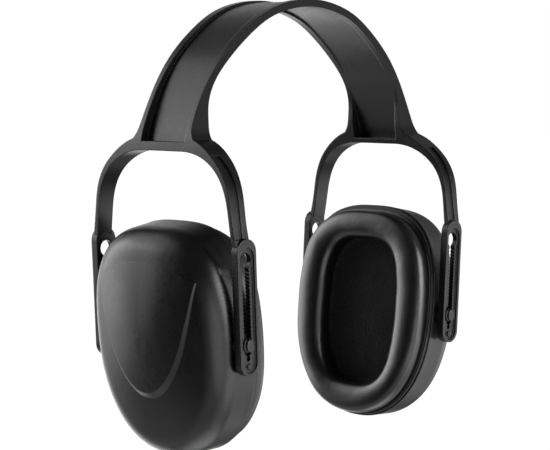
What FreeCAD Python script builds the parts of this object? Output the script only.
# Passive ear defender: a one-piece headband that forks into two arms on each side,
# and two cups. Each cup hangs on two snap pins held in toothed racks in the arms,
# and has a shell, a snap-in cushion plate, a cushion (cover and foam) and a foam liner.
#
# Frame: +Z up, X across the head (+X is the right cup), -Y is the front. The origin is
# midway between the cups at the height of the pivot axes, cups in the low position of
# the height adjustment. Millimetres and degrees.
import FreeCAD, Part
import math
import os

os.makedirs("parts", exist_ok=True)
V = FreeCAD.Vector
doc = FreeCAD.newDocument("ear_defender")

# ------------------------------------------------------------ driving dimensions
DIMS = [
    # band: width front to back, panels sunk in the web, extent of the two forms
    ("band_depth", 35.0), ("panel_half", 13.4), ("recess_crown", 0.9),
    ("recess_fork", 3.8), ("web_crown", 1.6), ("env_depth", 120.0), ("env_width", 220.0),
    # rack plate, its recess and its rim; heights are from the pivot axis
    ("rack_width", 11.6), ("recess_width", 9.0), ("rack_inner", 42.1), ("rack_thick", 3.6),
    ("recess_cut", 1.1), ("recess_top", 42.2), ("recess_low", 12.0), ("rim_width", 1.3),
    # toothed slot with a keyhole above and an eyelet below, and the boss
    ("key_height", 36.4), ("key_dia", 7.2), ("slot_tip", 4.0), ("slot_valley", 4.8),
    ("tooth_pitch", 1.6), ("slot_low", 4.3), ("eyelet_dia", 2.3), ("eyelet_low", 5.8),
    ("boss_dia", 2.6), ("boss_high", 0.9), ("boss_low", 9.2),
    # lean of the arms, pivot place, tilt of the cups
    ("lean_angle", 3.2), ("pivot_offset", 71.3), ("cup_tilt", 6.5),
    # pivot pin, and its hub and bore in the shell
    ("head_dia", 6.2), ("head_thick", 1.75), ("flange_thick", 0.6),
    ("cap_wide", 4.5), ("cap_tall", 5.8), ("neck_width", 3.6), ("neck_long", 4.4),
    ("collar_dia", 8.0), ("collar_thick", 0.5), ("shank_dia", 4.0),
    ("barb_dia", 4.7), ("barb_long", 1.0), ("barb_gap", 0.2),
    ("bore_dia", 4.1), ("hub_dia", 9.4), ("hub_inner", 36.4), ("hub_outer", 41.4),
    # shell
    ("rim_plane", 63.0), ("shell_apex", 91.2), ("shell_half_y", 41.0), ("shell_up", 50.6),
    ("shell_down", 54.0), ("shell_draft", 0.6), ("dome_sag", 4.6), ("shell_round", 13.0),
    ("bevel_wide", 3.4), ("bevel_deep", 2.0), ("shell_wall", 2.4),
    # cushion plate
    ("plate_face", 61.1), ("plate_edge", 0.5), ("spigot_long", 2.9),
    ("spigot_thick", 1.8), ("spigot_gap", 0.6),
    # cushion and its ear opening
    ("pad_face", 52.0), ("pad_out_y", 39.3), ("pad_drop", 1.0), ("pad_round", 5.6),
    ("pad_skin", 0.9), ("ear_half_y", 22.4), ("ear_up", 33.2), ("ear_down", 37.5),
    # liner
    ("liner_half_y", 34.4), ("liner_wall", 9.8), ("liner_floor", 8.0),
    ("liner_back", 79.5), ("liner_front", 64.0),
]
sheet = doc.addObject("Spreadsheet::Sheet", "dims")
for row, (alias, number) in enumerate(DIMS, start=1):
    sheet.set(f"A{row}", alias)
    sheet.set(f"B{row}", repr(number))
    sheet.setAlias(f"B{row}", alias)
doc.recompute()


def dim(alias):
    return float(getattr(sheet, alias))


OVERLAP = 0.2     # how far an added boss, neck or cap sinks into its base
TOUCH = 0.01      # tolerance when picking edges by their place
X_AXIS, Y_AXIS, Z_AXIS = V(1, 0, 0), V(0, 1, 0), V(0, 0, 1)


# --------------------------------------------------------------- sketch geometry
def flat(point):
    return V(point[0], point[1], 0)


def spline(points):
    curve = Part.BSplineCurve()
    curve.interpolate([flat(p) for p in points])
    return curve


def closed_spline(points):
    curve = Part.BSplineCurve()
    curve.interpolate(Points=[flat(p) for p in points], PeriodicFlag=True)
    return curve


def line(start, end):
    return Part.LineSegment(flat(start), flat(end))


def arc(start, middle, end):
    return Part.Arc(flat(start), flat(middle), flat(end))


def band_between(upper, lower):
    """Closed profile from two open splines that run the same way."""
    return [spline(upper), line(upper[-1], lower[-1]), spline(lower), line(lower[0], upper[0])]


def mirrored(points):
    """Points reflected in the vertical axis, in reverse order."""
    return [(-x, y) for x, y in reversed(points)]


def over_crown(points):
    """Whole curve from the half that starts on the vertical axis."""
    return mirrored(points)[:-1] + points


def stadium(half, top, low):
    """Upright slot outline; top and low are the outermost heights."""
    return [line((half, low + half), (half, top - half)),
            arc((half, top - half), (0, top), (-half, top - half)),
            line((-half, top - half), (-half, low + half)),
            arc((-half, low + half), (0, low), (half, low + half))]


# -------------------------------------------------------------- document objects
def new_body(name):
    return doc.addObject("PartDesign::Body", name)


def add_sketch(body, name, plane, geometry, lift=0.0):
    """Sketch on an origin plane; lift runs along +X on YZ and along -Y on XZ."""
    sketch = body.newObject("Sketcher::SketchObject", name)
    support = next(f for f in body.Origin.OriginFeatures if f.Role == plane)
    sketch.AttachmentSupport = [(support, "")]
    sketch.MapMode = "FlatFace"
    sketch.AttachmentOffset = FreeCAD.Placement(V(0, 0, lift), FreeCAD.Rotation())
    for item in geometry:
        sketch.addGeometry(item, False)
    return sketch


def extrude(body, kind, name, sketch, length, symmetric=False):
    """Pad or Pocket; length is an expression."""
    feature = body.newObject("PartDesign::" + kind, name)
    feature.Profile = sketch
    feature.setExpression("Length", length)
    if symmetric:
        # the property has another name before FreeCAD 1.1
        if hasattr(feature, "SideType"):
            feature.SideType = "Symmetric"
        else:
            feature.Midplane = True
    sketch.Visibility = False
    body.Tip = feature
    return feature


def prism(name, plane, geometry, length, lift=0.0, symmetric=False, stem=None):
    """Body with a single pad; stem names its sketch and pad."""
    stem = stem or name
    body = new_body(name)
    sketch = add_sketch(body, stem + "_sketch", plane, geometry, lift)
    extrude(body, "Pad", stem + "_pad", sketch, length, symmetric)
    return body


def cut(name, base, tool):
    result = doc.addObject("Part::Cut", name)
    result.Base, result.Tool = base, tool
    doc.recompute()
    return result


def fuse(name, *shapes):
    result = doc.addObject("Part::MultiFuse", name)
    result.Shapes = list(shapes)
    doc.recompute()
    return result


def common(name, *shapes):
    result = doc.addObject("Part::MultiCommon", name)
    result.Shapes = list(shapes)
    doc.recompute()
    return result


def edges_where(shape, test):
    return [i for i, edge in enumerate(shape.Edges, start=1) if test(edge)]


def arm_placement(side_x, side_y):
    """Moves a part drawn on the front (-Y) side of the origin to one fork arm."""
    lean = FreeCAD.Rotation(Y_AXIS, side_x * dim("lean_angle"))
    facing = FreeCAD.Rotation(Z_AXIS, 180 if side_y > 0 else 0)
    return FreeCAD.Placement(V(side_x * dim("pivot_offset"), 0, 0), lean.multiply(facing))


# ===================================================================== HEADBAND
# Side form, right half (X, Z) from the crown down to the arm ends
OUTER = [(0, 150.2), (15.4, 148.6), (30.4, 143.8), (43.9, 135.6), (58.0, 123.6),
         (68.2, 110.5), (74.8, 98.0), (78.7, 87.5), (79.8, 78.0), (80.0, 66.0),
         (79.5, 52.0), (78.7, 38.0)]
INNER = [(0, 146.8), (14.8, 145.2), (29.0, 140.7), (41.8, 132.8), (55.2, 121.2),
         (63.6, 110.5), (66.5, 101.0), (66.6, 93.5), (67.3, 87.0), (68.7, 80.0),
         (70.2, 72.0), (70.9, 62.0), (70.8, 52.0), (70.0, 38.0)]

# Front form, +Y half. Band flank: (narrowing from half the band depth, Z)
FLANK = [(0, 156.0), (0, 141.0), (0.7, 127.0), (1.4, 114.0), (1.6, 104.0), (1.4, 96.5),
         (0.7, 90.8)]
# Outer edge of a fork arm (Y, Z); its first point ends the flank
LEG_OUTER = [(18.9, 87.1), (24.6, 84.5), (30.6, 80.2), (36.2, 74.4), (40.1, 67.1),
             (42.0, 58.4), (43.0, 51.0), (44.2, 44.0), (44.5, 36.0)]
# Inner edge of a fork arm (Y, Z), going up; starts on the inner face of the rack
LEG_INNER = [(dim("rack_inner"), 36.0), (dim("rack_inner"), 40.5), (41.4, 46.5), (40.6, 53.0),
             (39.7, 59.6), (37.4, 67.2), (33.0, 73.8), (27.0, 78.4), (20.4, 81.0), (13.0, 82.0)]

# Outer panel depth: (Z, share of the way from the crown depth to the fork depth)
DEPTH_SHARES = [(150.2, 0.0), (143.8, 0.10), (135.6, 0.21), (123.6, 0.35), (110.5, 0.60),
                (98.0, 0.87), (88.0, 1.0)]
WEB_THINNING, THINNING_Z, THINNING_SPREAD = 0.25, 122.0, 14.0
OUTER_PANEL_Z = 86.0        # lower ends of the panels
INNER_PANEL_Z = 84.4
PANEL_OUTSIDE = -3.0        # outer panel form stands clear of the band by this
PANEL_INSIDE = 18.0         # inner panel form reaches this far inwards
OFFSET_STEPS = 60
OFFSET_MARGIN = 3           # offset points kept this far below the trim height
MIN_SPACING = 0.8           # closer spline points are left out

# Grooves in the outer faces of the arms: bottom and clear side, (distance from X axis, Z)
GROOVE_BOTTOM = [(29.2, 80.2), (35.5, 73.9), (39.3, 66.9), (41.2, 58.3), (42.2, 51.0),
                 (43.1, 45.4)]
GROOVE_CLEAR = [(32.0, 84.0), (38.8, 77.2), (42.8, 68.6), (44.8, 58.8), (46.0, 51.0),
                (46.8, 45.4)]
GROOVE_WIDTH = "4.8 mm"
# (name, centre X, side in Y); half a turn about Z leaves the set unchanged
GROOVES = [("fl", -76.6, -1), ("fr", 73.8, -1), ("rr", 76.6, 1), ("rl", -73.8, 1)]

# Fork arms: (name, side in X, side in Y)
ARMS = [("fl", -1, -1), ("fr", 1, -1), ("rl", -1, 1), ("rr", 1, 1)]
RACK_ROOT = 2.4             # rack carries on above its rim, into the arm
TOOTH_START = 1.2           # first tooth below the keyhole
TOOTH_END = 0.6             # plain wall kept at the foot of the slot
TOOTH_FALL, TOOTH_FLAT, TOOTH_RISE = 0.32, 0.5, 0.82    # shares of the pitch
EYELET_NECK = 0.75          # half width of the opening into the eyelet
NECK_ABOVE, NECK_BELOW = 0.5, 0.2    # taper to that opening, about the slot foot
# Room cut in the band for each rack
ROOM_INSET, ROOM_ABOVE, ROOM_BELOW = 0.6, 1.2, 30
ROOM_INSIDE = 2             # starts this far inside the rack's inner face


def front_profile():
    """Band with the inverted U of the fork below it (Y, Z)."""
    half = dim("band_depth") / 2
    flank = [(half - narrowing, z) for narrowing, z in FLANK] + [LEG_OUTER[0]]

    def one_side(side):
        edge, outer, inner = [[(side * y, z) for y, z in points]
                              for points in (flank, LEG_OUTER, LEG_INNER)]
        return [spline(edge), spline(outer), line(outer[-1], inner[0]), spline(inner)]

    def bridge(point):
        return line(point, (-point[0], point[1]))

    return one_side(1) + one_side(-1) + [bridge(flank[0]), bridge(LEG_INNER[-1])]


def recess_depth(z):
    """Depth of the outer panel: shallow at the crown, deep at the fork."""
    crown, fork = dim("recess_crown"), dim("recess_fork")
    if z >= DEPTH_SHARES[0][0]:
        return crown
    for (z0, share0), (z1, share1) in zip(DEPTH_SHARES, DEPTH_SHARES[1:]):
        if z >= z1:
            share = share0 + (share1 - share0) * (z0 - z) / (z0 - z1)
            return crown + (fork - crown) * share
    return fork


def web_depth(z):
    """Depth of the inner face of the web, from the outer edge of the flanges."""
    thinning = WEB_THINNING * math.exp(-((z - THINNING_Z) / THINNING_SPREAD) ** 2)
    return recess_depth(z) + dim("web_crown") - thinning


def offset_outer(depth_at, z_end):
    """Outer band edge moved inwards by depth_at(z), cut off level at z_end."""
    curve = spline(over_crown(OUTER))
    first, last = curve.FirstParameter, curve.LastParameter
    moved = []
    for i in range(OFFSET_STEPS + 1):
        parameter = first + (last - first) * i / OFFSET_STEPS
        point = curve.value(parameter)
        along = curve.tangent(parameter)[0]
        place = point + V(along.y, -along.x, 0) * depth_at(point.y)
        if place.y >= z_end - OFFSET_MARGIN:
            moved.append((place.x, place.y))
    return trim_level(moved, z_end)


def trim_level(points, z):
    """The part of a polyline above height z, without crowded points."""
    above = [points[0]] if points[0][1] >= z else []
    for (x0, z0), (x1, z1) in zip(points, points[1:]):
        if z0 < z <= z1 or z1 < z <= z0:
            above.append((x0 + (z - z0) / (z1 - z0) * (x1 - x0), z))
        if z1 >= z:
            above.append((x1, z1))
    kept = [above[0]]
    for point in above[1:]:
        if math.hypot(point[0] - kept[-1][0], point[1] - kept[-1][1]) > MIN_SPACING:
            kept.append(point)
    kept[-1] = above[-1]
    return kept


def panel(stem, upper_depth, lower_depth, z_end):
    """Form that sinks a panel between the flanges."""
    profile = band_between(offset_outer(upper_depth, z_end), offset_outer(lower_depth, z_end))
    return prism(stem + "_form", "XZ_Plane", profile, "2 * dims.panel_half",
                 symmetric=True, stem=stem)


def groove(name, centre_x, side_y):
    bottom, clear = [[(side_y * y, z) for y, z in points]
                     for points in (GROOVE_BOTTOM, GROOVE_CLEAR)]
    return prism("groove_" + name, "YZ_Plane", band_between(bottom, clear), GROOVE_WIDTH,
                 lift=centre_x, symmetric=True)


def slot_profile():
    """Toothed slot, open to a keyhole above and an eyelet below."""
    tip, valley = dim("slot_tip") / 2, dim("slot_valley") / 2
    pitch, foot = dim("tooth_pitch"), -dim("slot_low")
    key_z, key_radius = dim("key_height"), dim("key_dia") / 2
    eye_z, eye_radius = -dim("eyelet_low"), dim("eyelet_dia") / 2
    key_joint = key_z - math.sqrt(key_radius ** 2 - tip ** 2)
    eye_joint = eye_z + math.sqrt(eye_radius ** 2 - EYELET_NECK ** 2)
    wall = [(tip, key_joint)]
    z = key_joint - TOOTH_START
    while z - pitch > foot + TOOTH_END:
        wall += [(tip, z), (valley, z - pitch * TOOTH_FALL),
                 (valley, z - pitch * TOOTH_FLAT), (tip, z - pitch * TOOTH_RISE)]
        z -= pitch
    wall += [(tip, foot + NECK_ABOVE), (EYELET_NECK, foot - NECK_BELOW),
             (EYELET_NECK, eye_joint)]
    profile = [arc((tip, key_joint), (0, key_z + key_radius), (-tip, key_joint)),
               arc((EYELET_NECK, eye_joint), (0, eye_z - eye_radius), (-EYELET_NECK, eye_joint))]
    for (x0, z0), (x1, z1) in zip(wall, wall[1:]):
        profile += [line((x0, z0), (x1, z1)), line((-x0, z0), (-x1, z1))]
    return profile


def rack(name, side_x, side_y):
    """Raised rim, recessed floor, toothed slot and a small boss, on one arm."""
    name = "rack_" + name
    body = new_body(name)
    inner, rim = dim("rack_inner"), dim("rim_width")
    outer = inner + dim("rack_thick")
    top, low = dim("recess_top"), -dim("recess_low")

    def step(kind, suffix, sketch_suffix, geometry, lift, length):
        sketch = add_sketch(body, name + sketch_suffix, "XZ_Plane", geometry, lift)
        extrude(body, kind, name + suffix, sketch, length)
        doc.recompute()
        return body.Shape.Volume

    plain = step("Pad", "_pad", "_outline",
                 stadium(dim("rack_width") / 2, top + rim + RACK_ROOT, low - rim),
                 inner, "dims.rack_thick")
    recessed = step("Pocket", "_recess", "_recess_sketch",
                    stadium(dim("recess_width") / 2, top, low), outer, "dims.recess_cut")
    slotted = step("Pocket", "_slot", "_slot_sketch", slot_profile(), outer,
                   "dims.rack_thick + 1")
    if not plain > recessed > slotted:
        raise RuntimeError("rack pocket cut nothing")
    step("Pad", "_boss", "_boss_sketch",
         [Part.Circle(V(0, -dim("boss_low"), 0), Z_AXIS, dim("boss_dia") / 2)],
         outer - dim("recess_cut") - OVERLAP, f"dims.boss_high + {OVERLAP}")
    body.Placement = arm_placement(side_x, side_y)
    return body


def rack_room(name, side_x, side_y):
    """Form that clears the band where a rack goes in."""
    profile = stadium(dim("rack_width") / 2 - ROOM_INSET, dim("recess_top") + ROOM_ABOVE,
                      -dim("recess_low") - ROOM_BELOW)
    body = prism("rack_room_" + name, "XZ_Plane", profile, "dims.rack_thick + 5",
                 lift=dim("rack_inner") - ROOM_INSIDE)
    body.Placement = arm_placement(side_x, side_y)
    return body


def make_headband():
    outer, inner = over_crown(OUTER), over_crown(INNER)
    side = prism("band_side_form", "XZ_Plane", band_between(outer, inner),
                 "dims.env_depth", symmetric=True, stem="band_side")
    front = prism("band_front_form", "YZ_Plane", front_profile(),
                  "dims.env_width", symmetric=True, stem="band_front")
    blank = common("band_blank", side, front)
    # the outer panel ends in a step; the web goes straight on down behind it
    outer_panel = panel("outer_panel", lambda z: PANEL_OUTSIDE, recess_depth, OUTER_PANEL_Z)
    inner_panel = panel("inner_panel", web_depth, lambda z: PANEL_INSIDE, INNER_PANEL_Z)
    grooves = [groove(*entry) for entry in GROOVES]
    racks = [rack(*arm) for arm in ARMS]
    rooms = [rack_room(*arm) for arm in ARMS]
    tools = fuse("band_tools", outer_panel, *grooves, *rooms)
    carved = cut("band_carved", cut("band_carved_a", blank, tools), inner_panel)
    headband = fuse("headband", carved, *racks)
    headband.Refine = True
    doc.recompute()
    return headband


# ================================================================== CUP OUTLINE
# A cup size is (half width in Y, height above the pivot axis, depth below it).
# Cup parts are drawn upright with X across the head and the pivot axis at z = 0.
SHELL_SIZE = (dim("shell_half_y"), dim("shell_up"), dim("shell_down"))
EAR_SIZE = (dim("ear_half_y"), dim("ear_up"), dim("ear_down"))
OUTLINE_POINTS = 48
POWER_ABOVE, POWER_BELOW = 2.8, 2.2     # superellipse: fuller above, rounder below


def inset(size, distance):
    return tuple(extent - distance for extent in size)


def cup_outline(size):
    half_y, up, down = size
    points = []
    for i in range(OUTLINE_POINTS):
        angle = 2 * math.pi * i / OUTLINE_POINTS + math.pi / 2
        cosine, sine = math.cos(angle), math.sin(angle)
        power, height = (POWER_ABOVE, up) if sine >= 0 else (POWER_BELOW, down)
        points.append((math.copysign(abs(cosine) ** (2 / power), cosine) * half_y,
                       math.copysign(abs(sine) ** (2 / power), sine) * height))
    return [closed_spline(points)]


def cup_prism(name, start_x, length, size):
    """Straight prism along +X on the cup outline."""
    return prism(name, "YZ_Plane", cup_outline(size), length, lift=start_x)


# ======================================================================== SHELL
STATION_STEP = 2.6          # spacing of the loft sections along the profile
SHOULDER_FROM, SHOULDER_TO = 87, 16.5    # angles of the rounded shoulder, from +X
DOME_END = 0.1              # size left at the top of the dome, as a share
WALL_STEPS, SHOULDER_STEPS, DOME_STEPS = 40, 40, 60
ROUND_SHRINK = 0.8          # loss of shoulder radius per millimetre of inset
INNER_START = 1.0           # hollow starts this far before the rim

# Shield outline (Y, Z), +Y half from its upper corner to the bottom
SHIELD_HALF = [(32.6, 27.5), (30.5, 18.6), (27.2, 7.6), (23.2, -3.5), (17.7, -13.3),
               (10.9, -20.8), (4.2, -24.4), (0, -24.8)]
SHIELD_TOP = (0, 36.0)
SHIELD_TIP = 1.25           # angle
SHIELD_LIFT = 0.3
SHIELD_START = 6.0          # its dome starts this far beyond the rim
SHIELD_HINGE = V(dim("shell_apex") - 2.2, 0, 35.0)
BORE_LENGTH = 110


def shell_stations(start, distance):
    """(x, size) stations, evenly spaced along the profile of the inset shell:
    wall with a little draft, rounded shoulder, then a low dome."""
    size = inset(SHELL_SIZE, distance)
    apex, sag, draft = dim("shell_apex") - distance, dim("dome_sag"), dim("shell_draft")
    radius = dim("shell_round") - distance * ROUND_SHRINK
    centre_x = apex - sag - radius * math.cos(math.radians(SHOULDER_TO))
    centre_in = draft + radius * math.sin(math.radians(SHOULDER_FROM))
    # (x, distance in from the outline, scale)
    profile = []
    for i in range(WALL_STEPS):
        share = i / WALL_STEPS
        profile.append((start + (centre_x - start) * share, draft * share, 1.0))
    for i in range(SHOULDER_STEPS + 1):
        angle = math.radians(
            SHOULDER_FROM + (SHOULDER_TO - SHOULDER_FROM) * i / SHOULDER_STEPS)
        profile.append((centre_x + radius * math.cos(angle),
                        centre_in - radius * math.sin(angle), 1.0))
    dome_in = profile[-1][1]
    for i in range(1, DOME_STEPS + 1):
        scale = 1 - (1 - DOME_END) * i / DOME_STEPS
        profile.append((apex - sag * scale ** 2, dome_in, scale))

    places = [(x, (size[0] - inward) * scale) for x, inward, scale in profile]
    run = [0.0]
    for (x0, y0), (x1, y1) in zip(places, places[1:]):
        run.append(run[-1] + math.hypot(x1 - x0, y1 - y0))
    count = round(run[-1] / STATION_STEP)
    stations = []
    for j in range(count + 1):
        target = run[-1] * j / count
        nearest = min(range(len(run)), key=lambda i: abs(run[i] - target))
        x, inward, scale = profile[nearest]
        stations.append((x, tuple(extent * scale for extent in inset(size, inward))))
    return stations


def dome_loft(name, start, distance):
    body = new_body(name)
    sections = [add_sketch(body, f"{name}_s{i}", "YZ_Plane", cup_outline(size), lift=x)
                for i, (x, size) in enumerate(shell_stations(start, distance))]
    loft = body.newObject("PartDesign::AdditiveLoft", name + "_loft")
    loft.Profile = sections[0]
    loft.Sections = sections[1:]
    body.Tip = loft
    return body


def make_shield():
    """Raised shield on the outer face: the shell dome lifted a little and tipped
    near its top, so its step and bevel grow towards the bottom."""
    dome = dome_loft("shield_dome_form", dim("rim_plane") + SHIELD_START, 0.0)
    dome.Placement = FreeCAD.Placement(V(SHIELD_LIFT, 0, 0),
                                       FreeCAD.Rotation(Y_AXIS, -SHIELD_TIP), SHIELD_HINGE)
    points = SHIELD_HALF + mirrored(SHIELD_HALF)[1:]
    outline = prism("shield_outline_form", "YZ_Plane",
                    [spline(points), arc(points[-1], SHIELD_TOP, points[0])],
                    "20", lift=80.0, stem="shield_outline")
    block = common("shield_form", dome, outline)
    # bevel the long edge round the sides and bottom of the outer face
    shield = doc.addObject("Part::Chamfer", "shield_bevelled")
    shield.Base = block
    rim_edges = edges_where(block.Shape, lambda edge: edge.BoundBox.XMin > 83.0
                            and edge.BoundBox.ZMin < -20 and edge.BoundBox.YLength > 40)
    shield.Edges = [(i, dim("bevel_wide"), dim("bevel_deep")) for i in rim_edges]
    doc.recompute()
    return shield


def pivot_cylinder(name, diameter, length, start_y):
    """Cylinder on the pivot axis, running along +Y from start_y."""
    cylinder = doc.addObject("Part::Cylinder", name)
    cylinder.setExpression("Radius", diameter + " / 2")
    cylinder.setExpression("Height", length)
    cylinder.Placement = FreeCAD.Placement(V(dim("pivot_offset"), start_y, 0),
                                           FreeCAD.Rotation(X_AXIS, -90))
    return cylinder


def make_shell():
    rim = dim("rim_plane")
    outer = dome_loft("shell_outer_form", rim, 0.0)
    inner = dome_loft("shell_inner_form", rim - INNER_START, dim("shell_wall"))
    shield = make_shield()
    # bosses inside the cup wall that carry the pivot pins
    hubs = [pivot_cylinder(name, "dims.hub_dia", "dims.hub_outer - dims.hub_inner", start_y)
            for name, start_y in (("hub_front", -dim("hub_outer")),
                                  ("hub_rear", dim("hub_inner")))]
    bore = pivot_cylinder("pivot_bore", "dims.bore_dia", str(BORE_LENGTH), -BORE_LENGTH / 2)
    skin = fuse("shell_skin", outer, shield)
    cup = cut("shell_cup", skin, inner)
    with_hubs = fuse("shell_with_hubs", cup, *hubs)
    return cut("right_cup_shell", with_hubs, bore)


# ====================================================== CUSHION PLATE (snap ring)
SEAT_GAP = 0.05             # plate to shell rim, cushion cover to plate
PLATE_HOLE_MARGIN = 3.0     # plate opening beyond the ear opening


def make_plate():
    face = dim("plate_face")
    spigot_size = inset(SHELL_SIZE, dim("shell_wall") + dim("spigot_gap"))
    disc = cup_prism("plate_disc_form", face, f"dims.rim_plane - dims.plate_face - {SEAT_GAP}",
                     inset(SHELL_SIZE, dim("plate_edge")))
    spigot = cup_prism("plate_spigot_form", face + 0.5,
                       "dims.rim_plane - dims.plate_face + dims.spigot_long", spigot_size)
    hole = cup_prism("plate_hole_form", face - 1, "20", inset(EAR_SIZE, -PLATE_HOLE_MARGIN))
    hollow = cup_prism("plate_spigot_hollow_form", dim("rim_plane"), "20",
                       inset(spigot_size, dim("spigot_thick")))
    holed = cut("plate_a", fuse("plate_fused", disc, spigot), hole)
    return cut("right_cushion_plate", holed, hollow)


# ====================================================================== CUSHION
PAD_EXTRA_BELOW = 0.4
FOAM_GAP = 0.1              # foam to cover
FOAM_BACK_GAP = 0.15        # foam to plate
SKIN_ROUND_LOSS = 0.7       # loss of edge radius per millimetre of skin


def cushion_form(name, start_x, end_x, shrink, radius):
    """Ring with rounded outer and inner edges on the head side."""
    narrowing = dim("shell_half_y") - dim("pad_out_y")
    outer_size = (dim("pad_out_y"), dim("shell_up") - narrowing - dim("pad_drop"),
                  dim("shell_down") - narrowing + PAD_EXTRA_BELOW)
    length = end_x - start_x
    outer = cup_prism(name + "_outer", start_x, "%f" % length, inset(outer_size, shrink))
    inner = cup_prism(name + "_inner", start_x - 2, "%f" % (length + 4),
                      inset(EAR_SIZE, -shrink))
    ring = cut(name + "_ring", outer, inner)
    rounded = doc.addObject("Part::Fillet", name + "_rounded")
    rounded.Base = ring
    head_edges = edges_where(ring.Shape, lambda edge: edge.BoundBox.XMax < start_x + TOUCH
                             and edge.Length > 20)
    rounded.Edges = [(i, radius, radius) for i in head_edges]
    doc.recompute()
    return rounded


def make_cushion():
    """Cover, open towards the plate, and the foam inside it."""
    face, back, skin = dim("pad_face"), dim("plate_face"), dim("pad_skin")
    outer_round = dim("pad_round")
    inner_round = outer_round - skin * SKIN_ROUND_LOSS
    outer = cushion_form("cover", face, back - SEAT_GAP, 0.0, outer_round)
    room = cushion_form("cover_room", face + skin, back + 1.0, skin, inner_round)
    cover = cut("right_cushion_cover", outer, room)
    foam = cushion_form("foam", face + skin + FOAM_GAP, back - FOAM_BACK_GAP,
                        skin + FOAM_GAP, inner_round)
    return cover, foam


# =================================================================== FOAM LINER
LINER_CLEARANCE = 3.5       # to the shell wall, above and below


def make_liner():
    margin = dim("shell_wall") + LINER_CLEARANCE
    size = (dim("liner_half_y"), dim("shell_up") - margin, dim("shell_down") - margin)
    front = dim("liner_front")
    outer = cup_prism("liner_outer_form", front, "dims.liner_back - dims.liner_front", size)
    hollow = cup_prism("liner_hollow_form", front - 2,
                       "dims.liner_back - dims.liner_floor - dims.liner_front + 2",
                       inset(size, dim("liner_wall")))
    return cut("right_foam_liner", outer, hollow)


# =================================================================== PIVOT PINS
PIN_PLAY = 0.1              # head and collar to the rack faces
CORE_INSET = 0.35           # turned core inside the rectangular neck
BARB_TAPER = 0.3            # barb tip radius below the shank radius
FLANGE_BEVEL = 0.25
CAP_ROUND = 0.7


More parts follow.
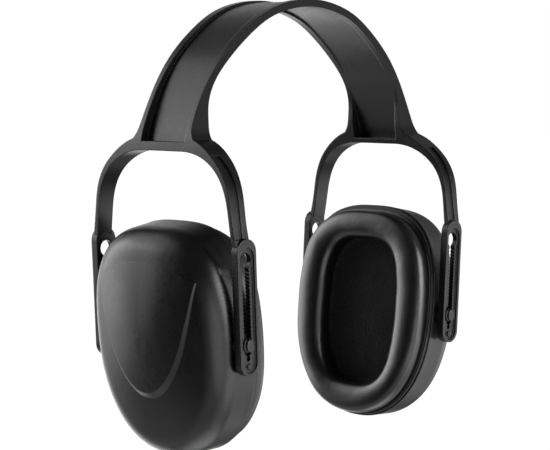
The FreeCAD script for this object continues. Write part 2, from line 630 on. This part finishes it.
def make_pin(name, side_y):
    """Snap pin: head in the rack recess, rectangular neck in the toothed slot,
    collar, round shank in the hub and a barb behind it. Drawn at the front."""
    body = new_body(name)
    head_y = -(dim("rack_inner") + dim("rack_thick") - dim("recess_cut") + PIN_PLAY)
    top_y = head_y - dim("head_thick")
    flange_y = head_y - dim("flange_thick")
    collar_y = -(dim("rack_inner") - PIN_PLAY)
    collar_end = collar_y + dim("collar_thick")
    barb_y = -(dim("hub_inner") - dim("barb_gap"))
    end_y = barb_y + dim("barb_long")
    head, collar = dim("head_dia") / 2, dim("collar_dia") / 2
    shank, barb = dim("shank_dia") / 2, dim("barb_dia") / 2
    neck_half, neck_rise = dim("neck_width") / 2, dim("neck_long") / 2
    core = neck_half - CORE_INSET

    # half section (radius, y)
    section = [(0, flange_y), (0, end_y), (shank - BARB_TAPER, end_y), (barb, barb_y),
               (shank, barb_y), (shank, collar_end), (collar, collar_end),
               (collar, collar_y), (core, collar_y), (core, head_y), (head, head_y),
               (head, flange_y + FLANGE_BEVEL), (head - FLANGE_BEVEL, flange_y),
               (0, flange_y)]
    sketch = add_sketch(body, name + "_profile", "XY_Plane",
                        [line(a, b) for a, b in zip(section, section[1:])])
    turned = body.newObject("PartDesign::Revolution", name + "_turned")
    turned.Profile = sketch
    turned.ReferenceAxis = (sketch, ["V_Axis"])
    turned.Angle = 360.0
    body.Tip = turned
    doc.recompute()

    corners = [(neck_half, neck_rise), (-neck_half, neck_rise),
               (-neck_half, -neck_rise), (neck_half, -neck_rise)]
    neck_sketch = add_sketch(body, name + "_neck_sketch", "XZ_Plane",
                             [line(a, b) for a, b in zip(corners, corners[1:] + corners[:1])],
                             lift=-collar_y - OVERLAP)
    extrude(body, "Pad", name + "_neck", neck_sketch,
            "%f" % (collar_y - head_y + 2 * OVERLAP))

    cap_rise = dim("cap_tall") / 2
    cap_sketch = add_sketch(body, name + "_cap_sketch", "XZ_Plane",
                            stadium(dim("cap_wide") / 2, cap_rise, -cap_rise),
                            lift=-flange_y - OVERLAP)
    cap = extrude(body, "Pad", name + "_cap", cap_sketch,
                  f"dims.head_thick - dims.flange_thick + {OVERLAP}")
    doc.recompute()
    top_edges = edges_where(body.Shape, lambda edge: edge.BoundBox.YMax < top_y + TOUCH)
    softened = body.newObject("PartDesign::Fillet", name + "_softened")
    softened.Base = (cap, [f"Edge{i}" for i in top_edges])
    softened.Radius = CAP_ROUND
    body.Tip = softened
    doc.recompute()
    body.Placement = arm_placement(1, side_y)
    return body


# ===================================================================== ASSEMBLY
final = {"headband": make_headband()}
shell, plate = make_shell(), make_plate()
cover, foam = make_cushion()
cup_parts = {
    "right_cup_shell": shell, "right_cushion_plate": plate, "right_cushion_cover": cover,
    "right_cushion_foam": foam, "right_foam_liner": make_liner(),
}
# cups hang tipped about the pivot axis, upper edge outwards
for part in cup_parts.values():
    part.Placement = FreeCAD.Placement(V(0, 0, 0), FreeCAD.Rotation(Y_AXIS, dim("cup_tilt")),
                                       V(dim("pivot_offset"), 0, 0))
doc.recompute()
pins = {name: make_pin(name, side_y) for name, side_y in
        (("right_front_pivot_pin", -1), ("right_rear_pivot_pin", 1))}
doc.recompute()

# the left side is the right side mirrored in the YZ plane
for name, part in {**cup_parts, **pins}.items():
    part.Label = name
    final[name] = part
    left_name = name.replace("right", "left")
    mirror = doc.addObject("Part::Mirroring", left_name)
    mirror.Source = part
    mirror.Normal = X_AXIS
    mirror.Base = V(0, 0, 0)
    mirror.Label = left_name
    final[left_name] = mirror
doc.recompute()

# ------------------------------------------------------------- check and export
failed = [(o.Name, o.State) for o in doc.Objects if "Invalid" in o.State or "Error" in o.State]
if failed:
    raise RuntimeError(f"failed objects: {failed}")
for name, part in final.items():
    if part.Shape.isNull() or not part.Shape.isValid():
        raise RuntimeError("bad shape: " + name)
for name, part in final.items():
    part.Shape.exportStep(f"parts/{name}.step")
